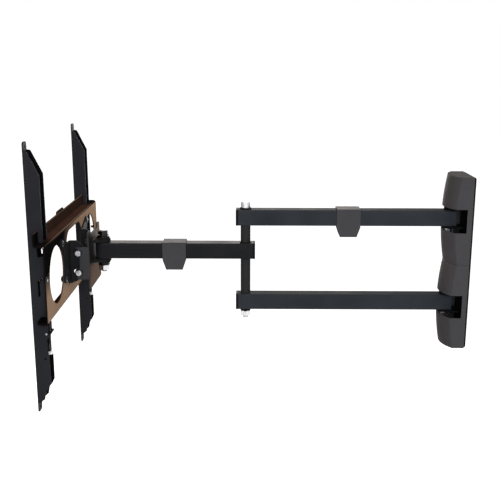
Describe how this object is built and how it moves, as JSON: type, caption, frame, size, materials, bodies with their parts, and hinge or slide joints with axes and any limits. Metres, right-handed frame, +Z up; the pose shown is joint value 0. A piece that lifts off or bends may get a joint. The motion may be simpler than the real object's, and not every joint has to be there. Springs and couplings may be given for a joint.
{
  "type": "full motion tv wall mount",
  "caption": "Full motion wall mount for a flat screen: covered wall plate, double inner arm, single front arm, swivel and tilt head, slotted rail and hooked screen brackets.",
  "frame": {"origin": "middle of the wall bolt pattern, on the back face of the wall plate, which lies on the wall", "axes": "+Z up, -Y out from the wall into the room, +X towards the side of the bracket, tilt bracket and lock screw that are named right"},
  "size_m": [0.445, 0.785, 0.4754],
  "materials": {
    "black_steel": "satin black powder coat",
    "arm_steel": "satin black powder coat with a cool sheen",
    "grey_plastic": "fine matte moulded plastic, dark grey",
    "black_plastic": "matte black",
    "nylon": "dyed nylon, satin",
    "rail_steel": "gloss black-brown coat that mirrors warm light",
    "zinc_steel": "bright zinc plating"
  },
  "bodies": {
    "wall_unit": {"wall_plate": "black_steel", "upper_shoulder_bracket": "black_steel", "lower_shoulder_bracket": "black_steel", "upper_cover": "grey_plastic", "lower_cover": "grey_plastic", "shoulder_bolts": "zinc_steel", "shoulder_nuts": "zinc_steel", "shoulder_washers": "nylon"},
    "inner_arms": {"upper_arm_tube": "arm_steel", "lower_arm_tube": "arm_steel", "shoulder_bushes": "zinc_steel", "upper_arm_cap": "black_plastic", "lower_arm_cap": "black_plastic", "inner_elbow_bushes": "zinc_steel", "elbow_post": "zinc_steel", "elbow_nut": "zinc_steel", "elbow_end_washers": "black_plastic", "upper_post_sleeve": "black_steel", "lower_post_sleeve": "black_steel", "elbow_thrust_washers": "nylon", "upper_arm_cable_clip": "grey_plastic"},
    "front_arm": {"front_arm_tube": "arm_steel", "front_arm_cap": "black_plastic", "front_elbow_bush": "zinc_steel", "swivel_bush": "zinc_steel", "front_arm_cable_clip": "grey_plastic"},
    "swivel_head": {"yoke_bracket": "black_steel", "upper_swivel_ear": "black_steel", "lower_swivel_ear": "black_steel", "swivel_bolt": "zinc_steel", "swivel_nut": "zinc_steel", "swivel_thrust_washers": "nylon", "swivel_spring_washers": "zinc_steel", "tilt_pivot_bolts": "zinc_steel", "tilt_lock_bolts": "zinc_steel", "tilt_nuts": "zinc_steel", "friction_discs": "nylon"},
    "tilt_head": {"right_tilt_bracket": "black_steel", "left_tilt_bracket": "black_steel", "rail": "rail_steel", "rail_bolts": "zinc_steel", "rail_stop_screws": "zinc_steel"},
    "right_bracket": {"right_tv_bracket": "black_steel"},
    "left_bracket": {"left_tv_bracket": "black_steel"},
    "right_screw": {"right_lock_screw": "zinc_steel"},
    "left_screw": {"left_lock_screw": "zinc_steel"}
  },
  "joints": [
    {"name": "shoulder_swing", "type": "hinge", "parent": "wall_unit", "child": "inner_arms", "pos_m": [0, -0.035, 0], "axis": [0, 0, 1], "range_deg": [-90, 90]},
    {"name": "elbow_swing", "type": "hinge", "parent": "inner_arms", "child": "front_arm", "pos_m": [0, -0.422, 0], "axis": [0, 0, -1], "range_deg": [-135, 135]},
    {"name": "head_swivel", "type": "hinge", "parent": "front_arm", "child": "swivel_head", "pos_m": [0, -0.6945, 0], "axis": [0, 0, 1], "range_deg": [-90, 90]},
    {"name": "head_tilt", "type": "hinge", "parent": "swivel_head", "child": "tilt_head", "pos_m": [0, -0.7315, 0.0235], "axis": [1, 0, 0], "range_deg": [-5, 10]},
    {"name": "right_bracket_slide", "type": "slide", "parent": "tilt_head", "child": "right_bracket", "axis": [1, 0, 0], "range_m": [-0.0812, 0.0188]},
    {"name": "left_bracket_slide", "type": "slide", "parent": "tilt_head", "child": "left_bracket", "axis": [-1, 0, 0], "range_m": [-0.0812, 0.0188]},
    {"name": "right_lock_travel", "type": "slide", "parent": "right_bracket", "child": "right_screw", "axis": [0, 0, 1], "range_m": [-0.008, 0]},
    {"name": "left_lock_travel", "type": "slide", "parent": "left_bracket", "child": "left_screw", "axis": [0, 0, 1], "range_m": [-0.008, 0]}
  ]
}
